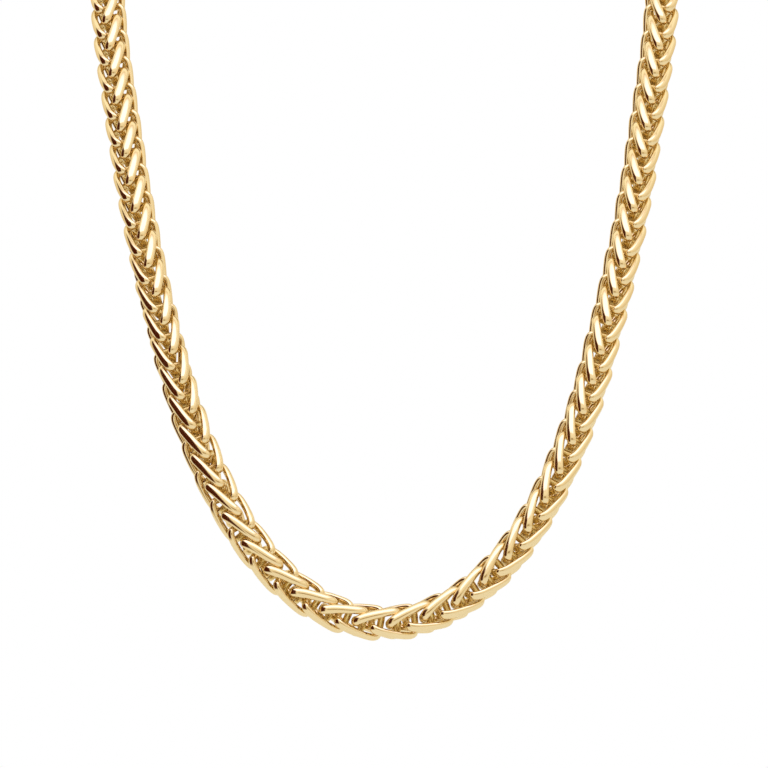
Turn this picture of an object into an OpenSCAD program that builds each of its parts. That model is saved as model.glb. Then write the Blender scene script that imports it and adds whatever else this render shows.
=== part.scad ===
// Wheat chain necklace: a closed loop that hangs from the nape, with its front towards -Y.
// Closed wire links, each twisted from end to end and every second one a mirror image, hook
// into the next link but one. The origin is the middle of the clasp, at the nape; +Z is up.

/* [Wire] */
// Width of a link's wire, across the bars that show outside
wire_w = 1.9; // [1.3:0.02:2.2]
// Thickness of a link's wire, towards the axis of the chain
wire_t = 1.4; // [1:0.02:1.7]

/* [Links] */
// Play beside the two wires that pass each other inside a link
side_play = 0.38; // [0.2:0.01:0.6]
// Play where a link hooks into the next link but one
hook_play = 0.43; // [0.3:0.01:0.7]
// Play between the fore end of a link and the tail end of the third link after it
step_play = 0.17; // [0.05:0.01:0.4]
// Turn of a link between its two ends, in degrees
link_turn = 70; // [66:1:74]

/* [Lie] */
// Roll of the chain about its own axis in the left strand, in degrees
roll_left = -11; // [-40:1:10]
// Roll of the chain about its own axis in the right strand, in degrees
roll_right = 87; // [50:1:95]
// Where the roll starts, measured along the chain from the bottom towards the left
roll_start = 126; // [100:1:160]
// Where the roll ends, measured along the chain from the bottom towards the right
roll_end = 24; // [0:1:50]

/* [Clasp] */
// Diameter of the pin that holds the last two links in each cup
pin_d = 1; // [0.7:0.05:1.2]
// Wall of the cups at the two ends of the clasp
cup_wall = 0.8; // [0.5:0.1:1.5]
// Play between the last links and the cup round them
cup_play = 0.3; // [0.2:0.05:0.8]
// Thickness of the web between the two cups
web_t = 2; // [1:0.25:4]
// Lip of a cup beyond its pin
cup_lip = 0.9; // [0.5:0.1:2]

/* [Hidden] */

// Points that draw the right half of the route, from the middle of the bottom to the nape
route = [
    [10.5, -94.5, -166], [28, -92.5, -150.5], [39, -83.5, -127.5], [44.5, -74, -107.5],
    [50, -61.5, -86], [54, -46, -63], [57.5, -32, -41.5], [58, -21, -26.5],
    [53, -12, -15], [43, -5, -6], [27.5, 0, 0], [9, 0, 0]
];
// Samples of the route between two of its points
steps_per_point = 16;
// Rings round the loop of a link, and sides of its wire
rings = 10;
sides = 5;
// How full a link's bars are between its ends: 1 is an ellipse, less is squarer
bulge = 0.4;
// How much nearer to the axis a link's bars lie halfway than at their ends
waist = 0.2;
// How far the shoulders of a link's bars reach towards its ends
sweep = 0.05;
gold = "#d8b06a";

// Sizes of one link, to the middle of its wire
link_r = wire_w + side_play + wire_t / 2;
link_step = 2 * wire_t + hook_play + step_play;
link_l = 2 * link_step + wire_t + hook_play;
chain_w = 2 * link_r + wire_t;

// Places along the half route, measured from the middle of the clasp
last_link = web_t / 2 + cup_play + link_l / 2 + wire_t / 2;
pin_at = last_link + link_step - link_l / 2 + wire_t / 2 + hook_play / 2 + pin_d / 2;
cup_end = pin_at + pin_d / 2 + cup_lip;
cup_r = chain_w / 2 + cup_play;

function unit(v) = v / norm(v);
function flip(p) = [-p.x, p.y, p.z];
function ease(t) = let (c = min(1, max(0, t))) c * c * (3 - 2 * c);

// The route is a smooth spline drawn by the points and by their mirror images
count = len(route);
function control(k) =
    k < 0 ? flip(route[-1 - k]) : k < count ? route[k] : flip(route[2 * count - 1 - k]);
function spline(i, w) =
    w[0] * control(i - 1) + w[1] * control(i) + w[2] * control(i + 1) + w[3] * control(i + 2);
function place_weights(u) =
    [(1 - u) ^ 3, 3 * u ^ 3 - 6 * u ^ 2 + 4, -3 * u ^ 3 + 3 * u ^ 2 + 3 * u + 1, u ^ 3] / 6;
function slope_weights(u) =
    [-(1 - u) ^ 2, 3 * u ^ 2 - 4 * u, -3 * u ^ 2 + 2 * u + 1, u ^ 2] / 2;

// Samples from the middle of the bottom to the nape, with the length along the route to each
samples = count * steps_per_point;
spots = [for (k = [0:samples]) k / steps_per_point - 0.5];
points = [for (v = spots) spline(floor(v), place_weights(v - floor(v)))];
ways = [for (v = spots) unit(spline(floor(v), slope_weights(v - floor(v))))];
lengths = [for (k = 0, s = 0; k <= samples;
                s = s + (k < samples ? norm(points[k + 1] - points[k]) : 0), k = k + 1) s];
half_l = lengths[samples];

// The outward direction starts at the front and is carried along the route without twisting
outs = [for (k = 0, n = [0, -1, 0]; k <= samples;
             n = k < samples ? unit(n - (n * ways[k + 1]) * ways[k + 1]) : n, k = k + 1) n];

function table(list, c) = [for (k = [0:samples]) [lengths[k], list[k][c]]];
function tables(list) = [for (c = [0:2]) table(list, c)];
function read(t, s) = [for (c = [0:2]) lookup(s, t[c])];
point_t = tables(points);
way_t = tables(ways);
out_t = tables(outs);

// Frame at a length along the chain, negative in the left half:
// its point, then the directions to the link's right, to its back and along the chain
function roll(s) =
    roll_left + (roll_right - roll_left) * ease((s + roll_start) / (roll_start + roll_end));
function frame(s) =
    let (
        half = s < 0 ? -1 : 1,
        p = read(point_t, abs(s)),
        t = unit(read(way_t, abs(s))),
        n = read(out_t, abs(s)),
        along = [t.x, half * t.y, half * t.z],
        out = unit([half * n.x, n.y, n.z]),
        inward = cross(out, along),
        a = roll(s)
    )
    [[half * p.x, p.y, p.z], sin(a) * out - cos(a) * inward,
     -cos(a) * out - sin(a) * inward, along];

// One closed link about its own middle: the wire rounds the tail end at 0 and the fore end at 180,
// and hand -1 makes the mirror image
function loop_point(f, hand) =
    let (
        g = f > 180 ? 360 - f : f,
        r = link_r * pow(sin(g), bulge) * (1 + waist * cos(g) ^ 2),
        turn = 45 + link_turn / 2 * cos(g) + (f > 180 ? 180 : 0),
        a = hand > 0 ? turn : 180 - turn,
        z = link_l / 2 * (cos(g) - sweep * cos(3 * g)) / (1 - sweep)
    )
    [r * sin(a), -r * cos(a), -z];
function loop_ring(i, hand) =
    let (
        step = 360 / rings,
        f = (i + 0.5) * step,
        p = loop_point(f, hand),
        t = unit(loop_point((f + step) % 360, hand) - loop_point((f - step + 360) % 360, hand)),
        spine = link_l / 2 - link_r,
        away = p - [0, 0, min(spine, max(-spine, p.z))],
        n = unit(away - (away * t) * t),
        b = cross(t, n)
    )
    [for (k = [0:sides - 1])
        p + wire_w / 2 * sin(360 * k / sides) * b + wire_t / 2 * cos(360 * k / sides) * n];
function loop(hand) = [for (i = [0:rings - 1]) each loop_ring(i, hand)];
right_loop = loop(1);
left_loop = loop(-1);
skin = [for (i = [0:rings - 1], k = [0:sides - 1])
    let (
        a = i * sides + k,
        b = i * sides + (k + 1) % sides,
        c = ((i + 1) % rings) * sides + k,
        d = ((i + 1) % rings) * sides + (k + 1) % sides
    )
    each [[a, c, b], [b, c, d]]];

// As many links lie in the left half as in the right; they share out the length evenly
chain_half = half_l - last_link;
pairs = floor(chain_half / link_step + 0.5);
links = 2 * pairs;
function link_at(j) = -chain_half + 2 * chain_half * j / (links - 1);

module link(j) {
    f = frame(link_at(j));
    own = j % 2 == 0 ? right_loop : left_loop;
    polyhedron([for (q = own) f[0] + q.x * f[1] + q.y * f[2] + q.z * f[3]], skin);
}

module chain_left() {
    color(gold)
        for (j = [0:pairs - 1]) link(j);
}

module chain_right() {
    color(gold)
        for (j = [pairs:links - 1]) link(j);
}

// The pin of each cup lies across the loops of the last two links
module cup_pin(side) {
    f = frame(side * half_l);
    across = side > 0 ? f[1] : f[2];
    translate([side * pin_at, 0, 0])
        rotate([atan2(across.z, across.y), 0, 0])
            rotate([90, 0, 0])
                cylinder(h = 2 * cup_r + cup_wall, d = pin_d, center = true, $fn = 32);
}

module clasp() {
    color(gold) {
        difference() {
            rotate([0, 90, 0])
                cylinder(h = 2 * cup_end, r = cup_r + cup_wall, center = true, $fn = 64);
            for (side = [-1, 1])
                translate([side * (web_t / 2 + cup_end), 0, 0])
                    rotate([0, 90, 0])
                        cylinder(h = 2 * cup_end, r = cup_r, center = true, $fn = 64);
        }
        for (side = [-1, 1]) cup_pin(side);
    }
}

chain_left();
chain_right();
clasp();
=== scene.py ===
"""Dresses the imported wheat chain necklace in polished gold, lights it and sets the camera.

The classes give their sizes in millimetres and degrees, as a jeweller does. Blender's objects
are in metres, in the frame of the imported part: the origin is the middle of the clasp at the
nape, -Y is the front and +Z is up.
"""

from __future__ import annotations

import logging
import math
from collections.abc import Mapping, Sequence
from dataclasses import dataclass, field
from enum import Enum

import bmesh
import bpy
import numpy as np
from mathutils import Matrix, Vector


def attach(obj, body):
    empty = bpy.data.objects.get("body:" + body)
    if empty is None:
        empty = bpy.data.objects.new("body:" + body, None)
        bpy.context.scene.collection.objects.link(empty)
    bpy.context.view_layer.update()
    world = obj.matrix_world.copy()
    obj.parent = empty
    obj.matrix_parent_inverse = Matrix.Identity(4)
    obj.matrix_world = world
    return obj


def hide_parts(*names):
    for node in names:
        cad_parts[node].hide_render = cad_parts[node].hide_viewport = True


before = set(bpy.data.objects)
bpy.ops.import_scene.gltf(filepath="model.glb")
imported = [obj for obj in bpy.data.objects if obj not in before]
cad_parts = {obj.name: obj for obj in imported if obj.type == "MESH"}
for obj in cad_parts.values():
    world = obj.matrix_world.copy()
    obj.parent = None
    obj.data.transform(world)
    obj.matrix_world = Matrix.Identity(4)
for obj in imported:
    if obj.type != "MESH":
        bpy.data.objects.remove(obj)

LOG = logging.getLogger("necklace")
MM = 0.001
Colour = tuple[float, float, float]
Spot = tuple[float, float, float]


class Hand(Enum):
    """The two kinds of link: one is the mirror image of the other."""

    RIGHT = 1
    LEFT = -1


class Side(Enum):
    """The two halves of the chain, as seen from the front."""

    LEFT = -1
    RIGHT = 1


def add_object(name: str, data: bpy.types.ID) -> bpy.types.Object:
    """Puts an object in the scene, at the origin.

    Args:
        name: The object's name.
        data: Its mesh, light or camera.

    Returns:
        The object.
    """
    made = bpy.data.objects.new(name, data)
    bpy.context.collection.objects.link(made)
    return made


class Board:
    """Adds nodes to a tree and joins them, so that a tree reads as a list of steps."""

    def __init__(self, tree: bpy.types.NodeTree) -> None:
        """Starts work on a tree.

        Args:
            tree: The tree that the nodes are added to.
        """
        self.tree = tree

    def add(
        self, kind: str, inputs: Mapping[str | int, object] | None = None, **settings: object
    ) -> bpy.types.Node:
        """Adds one node.

        Args:
            kind: Blender's name for the kind of node.
            inputs: What each input gets, a value or another node's output.
            **settings: The node's own settings.

        Returns:
            The new node.
        """
        node = self.tree.nodes.new(kind)
        for name, value in settings.items():
            setattr(node, name, value)
        for key, value in (inputs or {}).items():
            self.feed(node.inputs[key], value)
        return node

    def feed(self, socket: bpy.types.NodeSocket, value: object) -> None:
        """Gives an input a value or another node's output.

        Args:
            socket: The input.
            value: The value or the output.
        """
        if isinstance(value, bpy.types.NodeSocket):
            self.tree.links.new(value, socket)
        else:
            socket.default_value = value

    def math(self, operation: str, *values: object) -> bpy.types.NodeSocket:
        """Works out one step on numbers.

        Args:
            operation: The name of the step, such as MULTIPLY.
            *values: The numbers or outputs that it takes.

        Returns:
            The result's output.
        """
        return self.add("ShaderNodeMath", dict(enumerate(values)), operation=operation).outputs[0]

    def vector(self, operation: str, *values: object) -> bpy.types.NodeSocket:
        """Works out one step on vectors that gives a vector.

        Args:
            operation: The name of the step, such as CROSS_PRODUCT.
            *values: The vectors or outputs that it takes.

        Returns:
            The result's output.
        """
        node = self.add("ShaderNodeVectorMath", dict(enumerate(values)), operation=operation)
        return node.outputs[0]

    def scaled(self, vector: object, factor: object) -> bpy.types.NodeSocket:
        """Multiplies a vector by a number.

        Args:
            vector: The vector.
            factor: The number.

        Returns:
            The product's output.
        """
        node = self.add(
            "ShaderNodeVectorMath", {"Vector": vector, "Scale": factor}, operation="SCALE"
        )
        return node.outputs[0]

    def dot(self, one: object, other: object) -> bpy.types.NodeSocket:
        """Works out the dot product of two vectors.

        Args:
            one: The first vector.
            other: The second vector.

        Returns:
            The product's output.
        """
        node = self.add("ShaderNodeVectorMath", {0: one, 1: other}, operation="DOT_PRODUCT")
        return node.outputs["Value"]

    def join(self, x: object, y: object, z: object) -> bpy.types.NodeSocket:
        """Makes a vector of three numbers.

        Args:
            x: The first number.
            y: The second number.
            z: The third number.

        Returns:
            The vector's output.
        """
        return self.add("ShaderNodeCombineXYZ", {0: x, 1: y, 2: z}).outputs[0]

    def noise(self, place: object, scale: float, detail: float) -> bpy.types.NodeSocket:
        """Makes a soft random pattern.

        Args:
            place: The output that says where it is read.
            scale: Its grains in a unit of length.
            detail: How many finer layers it has.

        Returns:
            The pattern's output, about 0.5 on average.
        """
        node = self.add(
            "ShaderNodeTexNoise", {"Vector": place, "Scale": scale, "Detail": detail}
        )
        return node.outputs["Fac"]

    def mixed(self, factor: object, one: object, other: object) -> bpy.types.NodeSocket:
        """Mixes two colours.

        Args:
            factor: How much of the second colour there is.
            one: The first colour, or the output that carries it.
            other: The second colour, or the output that carries it.

        Returns:
            The mixed colour's output.
        """
        node = self.add("ShaderNodeMix", {0: factor}, data_type="RGBA")
        ends = [s for s in node.inputs if s.type == "RGBA"]
        for socket, colour in zip(ends, (one, other)):
            self.feed(socket, (*colour, 1) if isinstance(colour, tuple) else colour)
        return next(s for s in node.outputs if s.type == "RGBA")


class Recipe:
    """A Geometry Nodes tree with named inputs."""

    def __init__(self, name: str) -> None:
        """Makes an empty tree.

        Args:
            name: The tree's name.
        """
        self.tree = bpy.data.node_groups.new(name, "GeometryNodeTree")
        self.board = Board(self.tree)
        self.start = self.tree.nodes.new("NodeGroupInput")
        self.end = self.tree.nodes.new("NodeGroupOutput")

    def ask(self, name: str, kind: str) -> bpy.types.NodeSocket:
        """Adds a named input.

        Args:
            name: The input's name.
            kind: Its type, such as Float or Int.

        Returns:
            The output that carries it inside the tree.
        """
        self.tree.interface.new_socket(name, in_out="INPUT", socket_type=f"NodeSocket{kind}")
        return self.start.outputs[name]

    def give(self, geometry: bpy.types.NodeSocket) -> None:
        """Ends the tree with its geometry.

        Args:
            geometry: The output that holds the result.
        """
        self.tree.interface.new_socket(
            "Geometry", in_out="OUTPUT", socket_type="NodeSocketGeometry"
        )
        self.tree.links.new(geometry, self.end.inputs["Geometry"])

    def bake(
        self, name: str, source: bpy.types.Mesh, values: Mapping[str, object]
    ) -> bpy.types.Object:
        """Runs the tree on a mesh and keeps the result as a plain mesh.

        Args:
            name: The name of the new object.
            source: The mesh that the tree starts from.
            values: What each named input gets.

        Returns:
            The new object, with no modifier left on it.
        """
        carrier = add_object(f"{name}_source", source)
        modifier = carrier.modifiers.new(self.tree.name, "NODES")
        modifier.node_group = self.tree
        sockets = {item.name: item.identifier for item in self.tree.interface.items_tree
                   if item.in_out == "INPUT"}
        for key, value in values.items():
            modifier[sockets[key]] = value
        graph = bpy.context.evaluated_depsgraph_get()
        mesh = bpy.data.meshes.new_from_object(carrier.evaluated_get(graph), depsgraph=graph)
        mesh.name = name
        bpy.data.objects.remove(carrier)
        return add_object(name, mesh)


@dataclass(frozen=True)
class PolishedGold:
    """High polish on yellow gold, with faint tone changes and the fine lines that wear leaves.

    Attributes:
        colour: The metal's colour.
        deep_colour: The slightly redder tone that clouds it here and there.
        roughness: Roughness where the polish is best.
        worn_roughness: Roughness where it has dulled.
        painted_recess_shade: Painted shade deep between the wires, a browner and darker tone that
            stands in for the shade there.
        recess_roughness: Roughness there.
        edge_colour: The tint of the gold's reflections at a glancing angle.
        cloud_scale: Clouds of tone in a metre.
        haze_scale: Dulled spots in a metre.
        haze_range: Values of the haze between which the polish dulls.
        line_scale: Fine lines in a metre, along X, Y and Z before they are turned.
        line_turn: How far the lines are turned about X, Y and Z, in radians.
        line_share: Height of the lines against the height of the dents.
        dent_scale: Shallow dents in a metre.
        relief_height: Height of the dents, in millimetres.
        relief_strength: How much of the dents and lines shows.
    """

    colour: Colour = (0.865, 0.695, 0.385)
    deep_colour: Colour = (0.835, 0.66, 0.35)
    roughness: float = 0.1
    worn_roughness: float = 0.16
    painted_recess_shade: Colour = (0.8, 0.6, 0.22)
    recess_roughness: float = 0.42
    edge_colour: Colour = (1.0, 0.95, 0.8)
    cloud_scale: float = 260.0
    haze_scale: float = 900.0
    haze_range: tuple[float, float] = (0.35, 0.7)
    line_scale: Spot = (9000.0, 9000.0, 500.0)
    line_turn: Spot = (0.5, 0.3, 0.2)
    line_share: float = 0.25
    dent_scale: float = 1400.0
    relief_height: float = 0.002
    relief_strength: float = 0.6

    def material(self, name: str) -> bpy.types.Material:
        """Builds the finish.

        Args:
            name: The material's name.

        Returns:
            The material.
        """
        made = bpy.data.materials.new(name)
        made.use_nodes = True
        board = Board(made.node_tree)
        shader = made.node_tree.nodes["Principled BSDF"]
        place = board.add("ShaderNodeTexCoord").outputs["Object"]

        clouds = board.noise(place, self.cloud_scale, 3.0)
        # Painted shade: where the stored recess mark is high, deep between the wires, the gold's
        # colour turns to a browner, darker tone.
        recess = board.add(
            "ShaderNodeAttribute", attribute_type="GEOMETRY", attribute_name="recess"
        ).outputs["Fac"]
        tone = board.mixed(clouds, self.colour, self.deep_colour)
        board.feed(shader.inputs["Base Color"], board.mixed(recess, tone, self.painted_recess_shade))

        dulled = board.add(
            "ShaderNodeMapRange",
            {
                "Value": board.noise(place, self.haze_scale, 4.0),
                "From Min": self.haze_range[0], "From Max": self.haze_range[1],
                "To Min": self.roughness, "To Max": self.worn_roughness,
            },
        )
        rough = board.add(
            "ShaderNodeMix",
            {0: recess, 2: dulled.outputs["Result"], 3: self.recess_roughness},
            data_type="FLOAT",
        )
        board.feed(shader.inputs["Roughness"], rough.outputs[0])

        stretched = board.add(
            "ShaderNodeMapping",
            {"Vector": place, "Rotation": self.line_turn, "Scale": self.line_scale},
        )
        lines = board.noise(stretched.outputs[0], 1.0, 2.0)
        dents = board.noise(place, self.dent_scale, 1.0)
        height = board.math("MULTIPLY_ADD", lines, self.line_share, dents)
        bump = board.add(
            "ShaderNodeBump",
            {
                "Height": height, "Distance": self.relief_height * MM,
                "Strength": self.relief_strength,
            },
        )
        board.feed(shader.inputs["Normal"], bump.outputs["Normal"])
        shader.inputs["Specular Tint"].default_value = (*self.edge_colour, 1)
        shader.inputs["Metallic"].default_value = 1.0
        return made


@dataclass
class Route:
    """The line that the middle of the chain follows, from the nape round the front and back.

    Attributes:
        points: Points that draw the right half, from the middle of the bottom to the nape.
        steps_per_point: Samples of the route between two of its points.
        places: The samples of the whole loop, from nape to nape.
        ways: The direction of the route at each sample.
        outs: The direction that faces outwards at each sample, carried along without a twist.
        half_length: Length of the route from the nape to the middle of the bottom.
    """

    points: Sequence[Spot] = (
        (10.5, -94.5, -166), (28, -92.5, -150.5), (39, -83.5, -127.5), (44.5, -74, -107.5),
        (50, -61.5, -86), (54, -46, -63), (57.5, -32, -41.5), (58, -21, -26.5),
        (53, -12, -15), (43, -5, -6), (27.5, 0, 0), (9, 0, 0),
    )
    steps_per_point: int = 16
    places: np.ndarray = field(init=False)
    ways: np.ndarray = field(init=False)
    outs: np.ndarray = field(init=False)
    half_length: float = field(init=False)

    def __post_init__(self) -> None:
        """Samples the smooth spline and carries the outward direction along it."""
        half = np.array(self.points, float)
        controls = np.vstack([half[::-1] * (-1, 1, 1), half, half[::-1] * (-1, 1, 1)])
        first = len(half)
        count = first * self.steps_per_point
        places, ways = [], []
        for k in range(count + 1):
            v = k / self.steps_per_point - 0.5
            i = math.floor(v)
            u = v - i
            near = controls[first + i - 1 : first + i + 3]
            places.append(np.array([(1 - u) ** 3, 3 * u**3 - 6 * u**2 + 4,
                                    -3 * u**3 + 3 * u**2 + 3 * u + 1, u**3]) / 6 @ near)
            way = np.array([-((1 - u) ** 2), 3 * u**2 - 4 * u, -3 * u**2 + 2 * u + 1, u**2]) @ near
            ways.append(way / np.linalg.norm(way))
        outs = [np.array([0.0, -1.0, 0.0])]
        for way in ways[1:]:
            out = outs[-1] - (outs[-1] @ way) * way
            outs.append(out / np.linalg.norm(out))
        self.places = self.mirrored(places, (-1, 1, 1))
        self.ways = self.mirrored(ways, (1, -1, -1))
        self.outs = self.mirrored(outs, (-1, 1, 1))
        steps = np.linalg.norm(np.diff(self.places, axis=0), axis=1)
        self.half_length = float(steps.sum()) / 2

    @staticmethod
    def mirrored(right: Sequence[np.ndarray], signs: tuple[int, int, int]) -> np.ndarray:
        """Puts the mirror image of the right half in front of it.

        Args:
            right: Vectors from the bottom to the nape.
            signs: What the mirror does to each of their parts.

        Returns:
            The vectors of the whole loop, from nape to nape.
        """
        whole = np.array(right)
        return np.vstack([whole[:0:-1] * signs, whole])

    def mesh(self) -> bpy.types.Mesh:
        """Makes the line that the links are strung on.

        Returns:
            A mesh of edges, in metres, with the directions stored on its points.
        """
        made = bpy.data.meshes.new("route")
        count = len(self.places)
        made.from_pydata((self.places * MM).tolist(), [(i, i + 1) for i in range(count - 1)], [])
        for name, values in (("along", self.ways), ("outward", self.outs)):
            stored = made.attributes.new(name, "FLOAT_VECTOR", "POINT")
            stored.data.foreach_set("vector", values.astype(np.float32).ravel())
        return made


@dataclass
class WireLink:
    """One closed wire link, twisted from end to end.

    Attributes:
        wire_w: Width of the wire, across the bars that show outside.
        wire_t: Thickness of the wire, towards the axis of the chain.
        side_play: Play beside the two wires that pass each other inside a link.
        hook_play: Play where a link hooks into the next link but one.
        step_play: Play between a link's fore end and the tail end of the third link after it.
        turn: Turn between the two ends, in degrees.
        bulge: How full the bars are between the ends: 1 is an ellipse, less is squarer.
        waist: How much nearer to the axis the bars lie halfway than at their ends.
        sweep: How far the bars' shoulders reach towards the ends of the link.
        recess_start: Share of the link's radius inside which the gold starts to be painted browner
            and darker, a painted shade for the hollows between the wires.
        recess_full: Share of the radius inside which that painted shade is deepest.
        rings: Rings of the mesh round the loop.
        sides: Sides of the wire in the mesh.
    """

    wire_w: float = 1.9
    wire_t: float = 1.4
    side_play: float = 0.38
    hook_play: float = 0.43
    step_play: float = 0.17
    turn: float = 70.0
    bulge: float = 0.4
    waist: float = 0.2
    sweep: float = 0.05
    recess_start: float = 0.75
    recess_full: float = 0.45
    rings: int = 52
    sides: int = 18

    @property
    def radius(self) -> float:
        """Distance from the chain's axis to the middle of the wire."""
        return self.wire_w + self.side_play + self.wire_t / 2

    @property
    def step(self) -> float:
        """Distance from a link to the next one."""
        return 2 * self.wire_t + self.hook_play + self.step_play

    @property
    def length(self) -> float:
        """Length of a link, to the middle of its wire."""
        return 2 * self.step + self.wire_t + self.hook_play

    def inputs(self) -> dict[str, object]:
        """Gives the tree's named inputs their values.

        Returns:
            The value of each input, in metres and radians.
        """
        return {
            "Wire Width": self.wire_w * MM,
            "Wire Thickness": self.wire_t * MM,
            "Link Radius": self.radius * MM,
            "Link Length": self.length * MM,
            "Link Turn": math.radians(self.turn),
            "Bulge": self.bulge,
            "Waist": self.waist,
            "Sweep": self.sweep,
            "Rings": self.rings,
            "Sides": self.sides,
        }

    def recipe(self) -> Recipe:
        """Builds the tree that bends and turns one wire into a closed link.

        Returns:
            The tree, with the link's sizes and its hand as named inputs.
        """
        recipe = Recipe("wire_link")
        board = recipe.board
        width = recipe.ask("Wire Width", "Float")
        thickness = recipe.ask("Wire Thickness", "Float")
        radius = recipe.ask("Link Radius", "Float")
        length = recipe.ask("Link Length", "Float")
        turn = recipe.ask("Link Turn", "Float")
        bulge = recipe.ask("Bulge", "Float")
        waist = recipe.ask("Waist", "Float")
        sweep = recipe.ask("Sweep", "Float")
        rings = recipe.ask("Rings", "Int")
        sides = recipe.ask("Sides", "Int")
        hand = recipe.ask("Hand", "Float")

        index = board.add("GeometryNodeInputIndex").outputs[0]
        share = board.math("DIVIDE", board.math("ADD", index, 0.5), rings)
        way = board.math("MULTIPLY", share, math.tau)
        bent = board.math("SUBTRACT", math.pi, board.math("ABSOLUTE", board.math(
            "SUBTRACT", math.pi, way)))
        second = board.math("GREATER_THAN", way, math.pi)
        fore = board.math("COSINE", bent)
        full = board.math("MULTIPLY", radius, board.math(
            "POWER", board.math("SINE", bent), bulge))
        reach = board.math("MULTIPLY", full, board.math(
            "MULTIPLY_ADD", waist, board.math("MULTIPLY", fore, fore), 1.0))
        angle = board.math(
            "ADD",
            board.math("MULTIPLY_ADD", board.math("MULTIPLY", turn, 0.5), fore, math.pi / 4),
            board.math("MULTIPLY", second, math.pi),
        )
        x = board.math("MULTIPLY", reach, board.math("SINE", angle))
        y = board.math("MULTIPLY", board.math("MULTIPLY", reach, board.math("COSINE", angle)),
                       board.math("MULTIPLY", hand, -1.0))
        shoulder = board.math("MULTIPLY", sweep, board.math(
            "COSINE", board.math("MULTIPLY", bent, 3.0)))
        share_z = board.math("DIVIDE", board.math("SUBTRACT", fore, shoulder),
                             board.math("SUBTRACT", 1.0, sweep))
        z = board.math("MULTIPLY", board.math("MULTIPLY", length, -0.5), share_z)

        loop = board.add("GeometryNodeCurvePrimitiveCircle", {"Resolution": rings})
        placed = board.add(
            "GeometryNodeSetPosition",
            {"Geometry": loop.outputs["Curve"], "Position": board.join(x, y, z)},
        )
        spine = board.math("SUBTRACT", board.math("MULTIPLY", length, 0.5), radius)
        below = board.math("MULTIPLY", spine, -1.0)
        nearest = board.add("ShaderNodeClamp", {"Value": z, "Min": below, "Max": spine})
        away = board.vector(
            "SUBTRACT", board.join(x, y, z), board.join(0.0, 0.0, nearest.outputs[0])
        )
        tangent = board.add("GeometryNodeInputTangent").outputs[0]
        normal = board.vector("NORMALIZE", board.vector(
            "SUBTRACT", away, board.scaled(tangent, board.dot(away, tangent))))
        facing = board.add(
            "GeometryNodeSetCurveNormal",
            {"Curve": placed.outputs["Geometry"], "Normal": normal},
            mode="FREE",
        )
        ring = board.add("GeometryNodeCurvePrimitiveCircle", {"Resolution": sides, "Radius": 0.5})
        oval = board.add(
            "GeometryNodeTransform",
            {"Geometry": ring.outputs["Curve"], "Scale": board.join(thickness, width, 1.0)},
        )
        wire = board.add(
            "GeometryNodeCurveToMesh",
            {"Curve": facing.outputs["Curve"], "Profile Curve": oval.outputs["Geometry"]},
        )
        # Painted shade: points deep inside the link, near the chain's axis, are marked so that the
        # gold is painted browner and darker there.
        spot = board.add("GeometryNodeInputPosition").outputs[0]
        sideways = board.vector("MULTIPLY", spot, (1.0, 1.0, 0.0))
        depth = board.add(
            "ShaderNodeMapRange",
            {
                "Value": board.math("SQRT", board.dot(sideways, sideways)),
                "From Min": board.math("MULTIPLY", radius, self.recess_start),
                "From Max": board.math("MULTIPLY", radius, self.recess_full),
            },
        )
        marked = board.add(
            "GeometryNodeStoreNamedAttribute",
            {"Geometry": wire.outputs["Mesh"], "Name": "recess", "Value": depth.outputs[0]},
            data_type="FLOAT",
            domain="POINT",
        )
        smooth = board.add("GeometryNodeSetShadeSmooth", {"Geometry": marked.outputs[0]})
        recipe.give(smooth.outputs["Geometry"])
        return recipe


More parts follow.
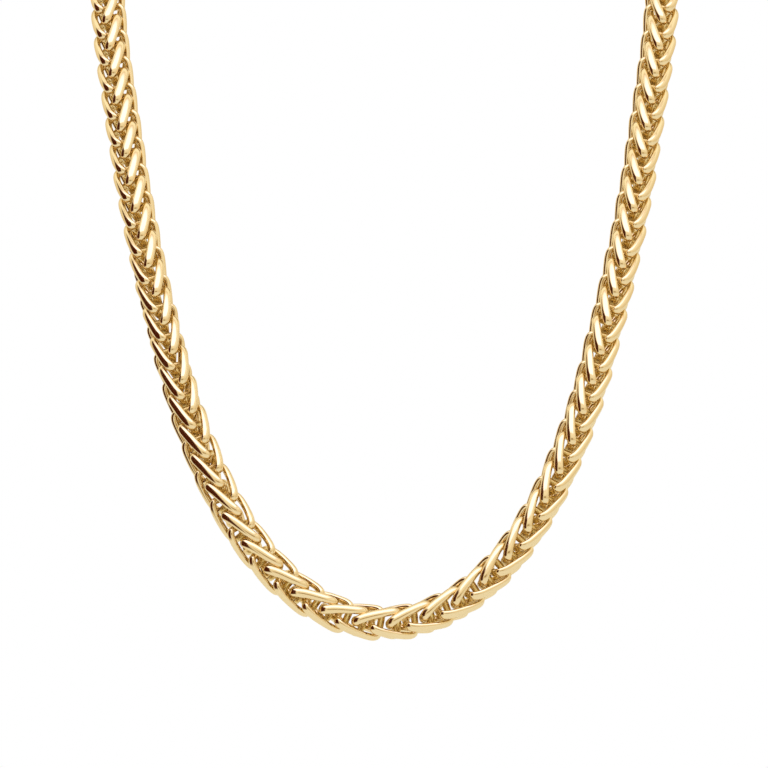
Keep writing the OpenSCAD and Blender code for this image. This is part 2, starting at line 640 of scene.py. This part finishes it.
@dataclass
class WheatChain:
    """The chain: links of both hands in turn, strung on the route and rolled as it lies.

    Attributes:
        link: The link that it is made of.
        route: The line that it follows.
        roll_left: Roll about its own axis in the left strand, in degrees.
        roll_right: Roll about its own axis in the right strand, in degrees.
        roll_start: Where the roll starts, from the bottom towards the left.
        roll_end: Where the roll ends, from the bottom towards the right.
        last_link: Distance along the chain from the middle of the clasp to the last link.
        slack_roll: How far a link may lie rolled from its true place, in degrees.
        slack_slide: How far a link may lie from its true place along the chain.
        slack_tilt: How far a link may lean from the line of the chain, in degrees.
        seed: Seed of that small disorder.
    """

    link: WireLink
    route: Route
    roll_left: float = -11.0
    roll_right: float = 87.0
    roll_start: float = 126.0
    roll_end: float = 24.0
    last_link: float = 6.315
    slack_roll: float = 1.5
    slack_slide: float = 0.03
    slack_tilt: float = 1.2
    seed: int = 7

    @property
    def links(self) -> int:
        """Number of links in the whole chain, an even number."""
        return 2 * math.floor((self.route.half_length - self.last_link) / self.link.step + 0.5)

    def recipe(self) -> Recipe:
        """Builds the tree that strings the links on the route.

        Returns:
            The tree, with the chain's sizes as named inputs.
        """
        recipe = Recipe("wheat_chain")
        board = recipe.board
        line = recipe.ask("Route", "Geometry")
        count = recipe.ask("Link Count", "Int")
        first = recipe.ask("First Link", "Int")
        start = recipe.ask("Chain Start", "Float")
        spacing = recipe.ask("Link Spacing", "Float")
        middle = recipe.ask("Bottom", "Float")
        roll_left = recipe.ask("Roll Left", "Float")
        roll_right = recipe.ask("Roll Right", "Float")
        roll_start = recipe.ask("Roll Start", "Float")
        roll_end = recipe.ask("Roll End", "Float")
        slack_roll = recipe.ask("Slack Roll", "Float")
        slack_slide = recipe.ask("Slack Slide", "Float")
        slack_tilt = recipe.ask("Slack Tilt", "Float")
        seed = recipe.ask("Seed", "Int")
        material = recipe.ask("Gold", "Material")
        sizes = {name: recipe.ask(name, "Int" if name in ("Rings", "Sides") else "Float")
                 for name in self.link.inputs()}

        curve = board.add("GeometryNodeMeshToCurve", {"Mesh": line}).outputs[0]
        points = board.add("GeometryNodePoints", {"Count": count}).outputs[0]
        index = board.add("GeometryNodeInputIndex").outputs[0]
        number = board.math("ADD", index, first)

        def slack(size: bpy.types.NodeSocket, offset: int) -> bpy.types.NodeSocket:
            """Gives each link its own small number.

            Args:
                size: The largest that it can be, above or below zero.
                offset: Sets it apart from the link's other such numbers.

            Returns:
                The number's output.
            """
            node = board.add(
                "FunctionNodeRandomValue",
                {"ID": number, "Seed": board.math("ADD", seed, offset)},
                data_type="FLOAT",
            )
            low, high = [s for s in node.inputs if s.name in ("Min", "Max") and s.type == "VALUE"]
            low.default_value, high.default_value = -1.0, 1.0
            value = next(s for s in node.outputs if s.type == "VALUE")
            return board.math("MULTIPLY", value, size)

        place = board.math(
            "ADD", board.math("MULTIPLY_ADD", number, spacing, start), slack(slack_slide, 1)
        )

        def read(name: str) -> bpy.types.Node:
            """Reads a stored direction where a link lies on the route.

            Args:
                name: The name that it is stored under.

            Returns:
                The node that gives the direction first, and the place on the route.
            """
            stored = board.add("GeometryNodeInputNamedAttribute", {"Name": name},
                               data_type="FLOAT_VECTOR")
            value = next(s for s in stored.outputs if s.type == "VECTOR")
            node = board.add("GeometryNodeSampleCurve", {"Curves": curve, "Length": place},
                             mode="LENGTH", data_type="FLOAT_VECTOR")
            board.feed(next(s for s in node.inputs if s.name == "Value" and s.type == "VECTOR"),
                       value)
            return node

        along_node, out_node = read("along"), read("outward")
        along = board.vector("NORMALIZE", along_node.outputs[0])
        out = board.vector("NORMALIZE", out_node.outputs[0])
        inward = board.vector("CROSS_PRODUCT", out, along)
        rolled = board.add(
            "ShaderNodeMapRange",
            {
                "Value": board.math("SUBTRACT", place, middle),
                "From Min": board.math("MULTIPLY", roll_start, -1.0), "From Max": roll_end,
                "To Min": roll_left, "To Max": roll_right,
            },
            interpolation_type="SMOOTHSTEP",
        )
        roll = board.math("ADD", rolled.outputs["Result"], slack(slack_roll, 2))
        right = board.vector(
            "SUBTRACT",
            board.scaled(out, board.math("SINE", roll)),
            board.scaled(inward, board.math("COSINE", roll)),
        )
        turned = board.add(
            "FunctionNodeAxesToRotation",
            {"Primary Axis": along, "Secondary Axis": right},
            primary_axis="Z",
            secondary_axis="X",
        )
        leaning = board.add(
            "FunctionNodeEulerToRotation",
            {0: board.join(slack(slack_tilt, 3), slack(slack_tilt, 4), 0.0)},
        )
        lying = board.add(
            "FunctionNodeRotateRotation",
            {"Rotation": turned.outputs[0], "Rotate By": leaning.outputs[0]},
            rotation_space="LOCAL",
        )
        strung = board.add(
            "GeometryNodeSetPosition",
            {"Geometry": points, "Position": along_node.outputs["Position"]},
        )
        odd = board.math("MODULO", number, 2.0)
        hands = board.add("GeometryNodeJoinGeometry")
        link_tree = self.link.recipe().tree
        for hand in Hand:
            link = board.add("GeometryNodeGroup", node_tree=link_tree)
            for name, socket in sizes.items():
                board.feed(link.inputs[name], socket)
            link.inputs["Hand"].default_value = hand.value
            chosen = board.math("COMPARE", odd, 0.0 if hand is Hand.RIGHT else 1.0, 0.1)
            placed = board.add(
                "GeometryNodeInstanceOnPoints",
                {
                    "Points": strung.outputs[0], "Selection": chosen,
                    "Instance": link.outputs[0], "Rotation": lying.outputs[0],
                },
            )
            board.feed(hands.inputs[0], placed.outputs[0])
        real = board.add("GeometryNodeRealizeInstances", {0: hands.outputs[0]})
        dressed = board.add(
            "GeometryNodeSetMaterial", {"Geometry": real.outputs[0], "Material": material}
        )
        recipe.give(dressed.outputs[0])
        return recipe

    def across(self, side: Side) -> float:
        """Finds which way the last hook of one end lies, for the clasp's pin.

        Args:
            side: The end of the chain.

        Returns:
            The turn about the clasp's axis from +Y, in degrees.
        """
        end = 0 if side is Side.LEFT else -1
        out, along = self.route.outs[end], self.route.ways[end]
        inward = np.cross(out, along)
        if side is Side.RIGHT:
            a = math.radians(self.roll_right)
            way = math.sin(a) * out - math.cos(a) * inward
        else:
            a = math.radians(self.roll_left)
            way = -math.cos(a) * out - math.sin(a) * inward
        return math.degrees(math.atan2(way[2], way[1]))

    def build(self, gold: bpy.types.Material) -> dict[Side, bpy.types.Object]:
        """Strings both halves of the chain.

        Args:
            gold: The finish of the links.

        Returns:
            The mesh of each half.
        """
        recipe = self.recipe()
        half = self.route.half_length
        chain_half = half - self.last_link
        values = {
            "Link Count": self.links // 2,
            "Chain Start": self.last_link * MM,
            "Link Spacing": 2 * chain_half / (self.links - 1) * MM,
            "Bottom": half * MM,
            "Roll Left": math.radians(self.roll_left),
            "Roll Right": math.radians(self.roll_right),
            "Roll Start": self.roll_start * MM,
            "Roll End": self.roll_end * MM,
            "Slack Roll": math.radians(self.slack_roll),
            "Slack Slide": self.slack_slide * MM,
            "Slack Tilt": math.radians(self.slack_tilt),
            "Seed": self.seed,
            "Gold": gold,
            **self.link.inputs(),
        }
        made: dict[Side, bpy.types.Object] = {}
        for side in Side:
            first = 0 if side is Side.LEFT else self.links // 2
            made[side] = recipe.bake(
                f"{side.name.lower()}_links", self.route.mesh(), {**values, "First Link": first}
            )
        return made


@dataclass
class BarrelClasp:
    """The clasp at the nape: a barrel with a cup and a pin at each end for the last links.

    Attributes:
        length: Length of the barrel.
        radius: Outer radius of the barrel at its middle.
        taper: How much slimmer the barrel is at its rims.
        cup_radius: Inner radius of the cups.
        web: Thickness of the web between the cups.
        fillet: Radius where a cup's wall meets the web.
        groove_places: Middles of the turned grooves, from the middle of the barrel.
        groove_width: Width of a groove.
        groove_depth: Depth of a groove.
        pin_radius: Radius of the pins.
        pin_at: Distance from the middle of the barrel to each pin.
        pin_head: From the tip of a pin inwards, distances from the tip and shares of the radius.
        pin_turns: How far each pin is turned about the barrel from +Y, in degrees.
        sides: Faces round the barrel.
        pin_sides: Faces round a pin.
        fillet_steps: Steps of the section round a fillet.
        rim_steps: Steps of the section round a rim.
        wall_steps: Steps of the section along the outer wall where it is grooved.
        wall_stride: How many of those steps one step takes where the wall is plain.
        sharp_angle: Bend from which an edge is sharp, in degrees.
    """

    length: float = 16.43
    radius: float = 4.78
    taper: float = 0.2
    cup_radius: float = 3.98
    web: float = 2.0
    fillet: float = 0.4
    groove_places: tuple[float, ...] = (0.45, 5.1, 6.0)
    groove_width: float = 0.36
    groove_depth: float = 0.16
    pin_radius: float = 0.5
    pin_at: float = 6.815
    pin_head: tuple[tuple[float, float], ...] = (
        (0.0, 0.0), (0.0, 0.6), (0.06, 0.92), (0.14, 1.0),
    )
    pin_turns: Mapping[Side, float] = field(default_factory=dict)
    sides: int = 96
    pin_sides: int = 24
    fillet_steps: int = 6
    rim_steps: int = 12
    wall_steps: int = 160
    wall_stride: int = 8
    sharp_angle: float = 40.0

    def outer(self, x: float) -> float:
        """Gives the barrel's outer radius, with its taper and its grooves.

        Args:
            x: Distance from the middle of the barrel.

        Returns:
            The radius there.
        """
        cut = 0.0
        for place in self.groove_places:
            aside = abs(x - place) / (self.groove_width / 2)
            if aside < 1:
                cut = self.groove_depth * (0.5 + 0.5 * math.cos(math.pi * aside))
        return self.radius - self.taper * (2 * x / self.length) ** 2 - cut

    def profile(self) -> list[tuple[float, float]]:
        """Draws the right half of the section, from the web's middle to the barrel's middle.

        Returns:
            Distances along and from the axis.
        """
        corner = (self.web / 2 + self.fillet, self.cup_radius - self.fillet)
        drawn = [(self.web / 2, 0.0), (self.web / 2, self.cup_radius / 2)]
        for step in range(self.fillet_steps + 1):
            a = math.pi / 2 * step / self.fillet_steps
            drawn.append((corner[0] - self.fillet * math.cos(a),
                          corner[1] + self.fillet * math.sin(a)))
        drawn.append((self.pin_at, self.cup_radius))
        rim = (self.outer(self.length / 2) - self.cup_radius) / 2
        middle = (self.length / 2 - rim, self.cup_radius + rim)
        for step in range(self.rim_steps + 1):
            a = math.pi * step / self.rim_steps
            drawn.append((middle[0] + rim * math.sin(a), middle[1] - rim * math.cos(a)))
        for step in range(1, self.wall_steps + 1):
            x = middle[0] * (1 - step / self.wall_steps)
            near = any(abs(x - place) < self.groove_width for place in self.groove_places)
            if near or step % self.wall_stride == 0:
                drawn.append((x, self.outer(x)))
        return drawn

    @staticmethod
    def lathe(
        work: bmesh.types.BMesh, section: Sequence[tuple[float, float]], sides: int,
        place: Matrix, recess_radius: float = 0.0,
    ) -> None:
        """Turns a section about the X axis, closes its surface and puts it in place.

        Args:
            work: The mesh that it is added to.
            section: Distances along and from the axis. The first and last lie on the axis.
            sides: Faces round the axis.
            place: Where the turned shape goes, in metres.
            recess_radius: The surface nearer to the axis than this is marked as recess, where the
                gold gets its painted shade.
        """
        depth = work.verts.layers.float["recess"]
        rings = []
        for x, radius in section:
            ring = []
            for k in range(sides if radius > 0 else 1):
                a = math.tau * k / sides
                spot = Vector((x, radius * math.cos(a), radius * math.sin(a)))
                point = work.verts.new(place @ (spot * MM))
                point[depth] = float(radius < recess_radius)
                ring.append(point)
            rings.append(ring)
        for one, other in zip(rings, rings[1:]):
            for k in range(sides):
                after = (k + 1) % sides
                if len(one) == 1:
                    work.faces.new((one[0], other[k], other[after]))
                elif len(other) == 1:
                    work.faces.new((one[k], other[0], one[after]))
                else:
                    work.faces.new((one[k], other[k], other[after], one[after]))

    def barrel(self, work: bmesh.types.BMesh) -> None:
        """Turns the barrel with its two cups.

        Args:
            work: The mesh that it is added to.
        """
        half = self.profile()
        section = half + [(-x, radius) for x, radius in reversed(half[:-1])]
        # The inner walls of the cups are marked so that the gold gets its painted shade there.
        just_outside = self.cup_radius + 0.01
        self.lathe(work, section, self.sides, Matrix.Identity(4), just_outside)

    def pin(self, work: bmesh.types.BMesh, side: Side) -> None:
        """Adds the pin of one cup, with a low domed head at each end.

        Args:
            work: The mesh that it is added to.
            side: The cup that it crosses.
        """
        reach = self.outer(self.pin_at)
        near = [(depth - reach, share * self.pin_radius) for depth, share in self.pin_head]
        section = near + [(-x, radius) for x, radius in reversed(near)]
        crossing = Matrix.Rotation(math.pi / 2, 4, "Z")
        turn = Matrix.Rotation(math.radians(self.pin_turns[side]), 4, "X")
        place = Matrix.Translation((side.value * self.pin_at * MM, 0, 0))
        self.lathe(work, section, self.pin_sides, place @ turn @ crossing)

    def build(self, gold: bpy.types.Material) -> bpy.types.Object:
        """Makes the clasp.

        Args:
            gold: Its finish.

        Returns:
            The clasp's mesh.
        """
        work = bmesh.new()
        work.verts.layers.float.new("recess")
        self.barrel(work)
        for side in Side:
            self.pin(work, side)
        bmesh.ops.recalc_face_normals(work, faces=work.faces)
        mesh = bpy.data.meshes.new("barrel_clasp")
        work.to_mesh(mesh)
        work.free()
        mesh.shade_smooth()
        mesh.set_sharp_from_angle(angle=math.radians(self.sharp_angle))
        mesh.materials.append(gold)
        return add_object("barrel_clasp", mesh)


@dataclass(frozen=True)
class Card:
    """A card near the chain, dark or bright, which only the metal reflects.

    Attributes:
        name: Its name.
        place: Where its middle is.
        aim: The point that it faces.
        size: Its width and height.
        colour: The colour of its middle; the white surroundings are 1.
        soft: The share of its reach over which it fades to the tent's colour.
    """

    name: str
    place: Spot
    aim: Spot
    size: tuple[float, float]
    colour: Colour
    soft: float


@dataclass
class Studio:
    """The pale floor, the soft light, the cards and the tent round them, and the camera.

    Attributes:
        picture_span: Width of the picture at the front of the chain.
        camera_range: Distance from the camera to the front of the chain.
        front: Y of the front of the chain.
        middle: Z of the middle of the picture.
        aside: How far the camera stands to the left of the chain's middle.
        floor_drop: Z of the floor.
        floor_size: Width of the floor.
        floor_tone: The floor's darkest and palest grey.
        floor_roughness: Roughness of the floor.
        light_place: Where the soft light hangs.
        light_aim: The point that it faces.
        light_size: Its width and height.
        light_radiance: How bright its face is; the white surroundings are 1.
        cards: The cards that the metal reflects.
        tent_radius: Radius of the tent.
        tent_colour: The colour that the metal sees level with it and below.
        tent_top_colour: The colour that it sees overhead.
        tent_rise: Heights between which one turns into the other, as shares of the radius.
    """

    picture_span: float = 153.6
    camera_range: float = 1800.0
    front: float = -94.31
    middle: float = -117.64
    aside: float = 0.16
    floor_drop: float = -520.0
    floor_size: float = 8000.0
    floor_tone: tuple[float, float] = (0.86, 0.9)
    floor_roughness: float = 0.7
    light_place: Spot = (0, -600, 1300)
    light_aim: Spot = (0, -600, 0)
    light_size: tuple[float, float] = (4000, 2600)
    light_radiance: float = 0.1
    cards: tuple[Card, ...] = (
        Card("top_card", (0, -675, 1010), (0, -675, 0), (2500, 1600), (1.9, 1.8, 2.45), 0.5),
        Card("left_card", (-497, -212, 0), (0, -60, 0), (950, 850), (0.07, 0.01, 0.0), 0.25),
        Card("front_card", (30, -760, -45), (0, -60, -90), (660, 220), (0.42, 0.31, 0.2), 0.5),
        Card("back_card", (0, 640, 560), (0, -60, -90), (1560, 260), (0.2, 0.1, 0.03), 0.4),
    )
    tent_radius: float = 6500.0
    tent_colour: Colour = (0.87, 0.765, 0.61)
    tent_top_colour: Colour = (1.12, 1.09, 1.05)
    tent_rise: tuple[float, float] = (-0.1, 0.75)

    def camera(self) -> None:
        """Sets the camera in front of the chain, level, at the photograph's distance."""
        data = bpy.data.cameras.new("picture")
        data.sensor_width = 36.0
        data.lens = data.sensor_width * self.camera_range / self.picture_span
        data.clip_start, data.clip_end = 0.05, 50.0
        camera = add_object("picture", data)
        place = (-self.aside, self.front - self.camera_range, self.middle)
        camera.location = Vector(place) * MM
        camera.rotation_euler = (math.pi / 2, 0, 0)
        bpy.context.scene.camera = camera

    @staticmethod
    def plane(name: str, width: float, height: float) -> bpy.types.Object:
        """Makes a flat sheet about its own middle.

        Args:
            name: The object's name.
            width: Its width.
            height: Its height.

        Returns:
            The sheet, which lies level.
        """
        mesh = bpy.data.meshes.new(name)
        x, y = width / 2 * MM, height / 2 * MM
        mesh.from_pydata([(-x, -y, 0), (x, -y, 0), (x, y, 0), (-x, y, 0)], [], [(0, 1, 2, 3)])
        made = add_object(name, mesh)
        return made

    def floor(self) -> None:
        """Lays the pale floor below the chain."""
        floor = self.plane("floor", self.floor_size, self.floor_size)
        floor.location = (0, 0, self.floor_drop * MM)
        pale = bpy.data.materials.new("pale_floor")
        pale.use_nodes = True
        board = Board(pale.node_tree)
        shader = pale.node_tree.nodes["Principled BSDF"]
        place = board.add("ShaderNodeTexCoord").outputs["Object"]
        tint = board.add(
            "ShaderNodeMapRange",
            {
                "Value": board.noise(place, 30.0, 6.0),
                "To Min": self.floor_tone[0], "To Max": self.floor_tone[1],
            },
        )
        board.feed(shader.inputs["Base Color"], tint.outputs["Result"])
        shader.inputs["Roughness"].default_value = self.floor_roughness
        floor.data.materials.append(pale)

    @staticmethod
    def hang(made: bpy.types.Object, place: Spot, aim: Spot) -> None:
        """Puts a light or a card in its place and turns it.

        Args:
            made: The light or the card.
            place: Where its middle goes.
            aim: The point that it faces.
        """
        made.location = Vector(place) * MM
        made.rotation_euler = (Vector(place) - Vector(aim)).to_track_quat("Z", "Y").to_euler()

    def light(self) -> None:
        """Hangs the soft light, which the camera doesn't see."""
        data = bpy.data.lights.new("soft_box", "AREA")
        data.shape = "RECTANGLE"
        data.size, data.size_y = (length * MM for length in self.light_size)
        data.energy = self.light_radiance * math.pi * data.size * data.size_y
        made = add_object("soft_box", data)
        self.hang(made, self.light_place, self.light_aim)
        made.visible_camera = False

    def stand(self, card: Card) -> None:
        """Stands one card near the chain.

        Args:
            card: The card.
        """
        width, height = card.size
        made = self.plane(card.name, width, height)
        self.hang(made, card.place, card.aim)
        board = self.glow(made)
        spot = board.add("ShaderNodeTexCoord").outputs["Object"]
        split = board.add("ShaderNodeSeparateXYZ", {0: spot})
        across = board.math("DIVIDE", split.outputs["X"], width / 2 * MM)
        upward = board.math("DIVIDE", split.outputs["Y"], height / 2 * MM)
        reach = board.math(
            "MAXIMUM", board.math("ABSOLUTE", across), board.math("ABSOLUTE", upward))
        faded = board.add(
            "ShaderNodeMapRange",
            {"Value": reach, "From Min": 1.0 - card.soft},
            interpolation_type="SMOOTHSTEP",
        )
        board.feed(
            board.tree.nodes["Emission"].inputs["Color"],
            board.mixed(faded.outputs["Result"], card.colour, self.tent_colour),
        )

    def tent(self) -> None:
        """Puts a warm white tent round everything, which only the metal's reflections show."""
        ball = bmesh.new()
        bmesh.ops.create_icosphere(ball, subdivisions=3, radius=self.tent_radius * MM)
        bmesh.ops.reverse_faces(ball, faces=ball.faces)
        mesh = bpy.data.meshes.new("tent")
        ball.to_mesh(mesh)
        ball.free()
        made = add_object("tent", mesh)
        board = self.glow(made)
        spot = board.add("ShaderNodeTexCoord").outputs["Object"]
        height = board.add("ShaderNodeSeparateXYZ", {0: spot}).outputs["Z"]
        rise = board.add(
            "ShaderNodeMapRange",
            {
                "Value": board.math("DIVIDE", height, self.tent_radius * MM),
                "From Min": self.tent_rise[0], "From Max": self.tent_rise[1],
            },
            interpolation_type="SMOOTHSTEP",
        )
        board.feed(
            board.tree.nodes["Emission"].inputs["Color"],
            board.mixed(rise.outputs["Result"], self.tent_colour, self.tent_top_colour),
        )

    @staticmethod
    def glow(made: bpy.types.Object) -> Board:
        """Gives a piece of the studio a glow that only shows in the metal.

        Args:
            made: The piece.

        Returns:
            The board of its material's tree, which holds the emission.
        """
        glowing = bpy.data.materials.new(made.name)
        glowing.use_nodes = True
        tree = glowing.node_tree
        tree.nodes.clear()
        board = Board(tree)
        glow = board.add("ShaderNodeEmission", {"Strength": 1.0})
        board.add("ShaderNodeOutputMaterial", {"Surface": glow.outputs[0]})
        made.data.materials.append(glowing)
        made.visible_camera = False
        made.visible_shadow = False
        made.visible_diffuse = False
        return board

    def build(self) -> None:
        """Sets up the whole studio."""
        self.camera()
        self.floor()
        world = bpy.data.worlds.new("white_room")
        world.use_nodes = True
        room = world.node_tree.nodes["Background"]
        room.inputs["Color"].default_value = (1.0, 1.0, 1.0, 1.0)
        room.inputs["Strength"].default_value = 1.0
        bpy.context.scene.world = world
        self.light()
        for card in self.cards:
            self.stand(card)
        self.tent()
        bpy.context.scene.view_settings.view_transform = "Standard"


def main() -> None:
    """Builds the necklace and the studio, and reports each piece."""
    logging.basicConfig(level=logging.INFO, format="%(name)s: %(message)s")
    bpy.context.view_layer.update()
    Studio().build()
    LOG.info("studio set")
    gold = PolishedGold().material("polished_gold")
    chain = WheatChain(WireLink(), Route())
    for side, piece in chain.build(gold).items():
        node = f"chain_{side.name.lower()}"
        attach(piece, "root")
        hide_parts(node)
        LOG.info("%s: %d faces for %s", piece.name, len(piece.data.polygons), node)
    clasp = BarrelClasp(pin_turns={side: chain.across(side) for side in Side}).build(gold)
    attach(clasp, "root")
    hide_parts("clasp")
    LOG.info("%s: %d faces for clasp", clasp.name, len(clasp.data.polygons))
    LOG.info("%d links on %.1f mm", chain.links, 2 * chain.route.half_length)


if __name__ == "__main__":
    main()
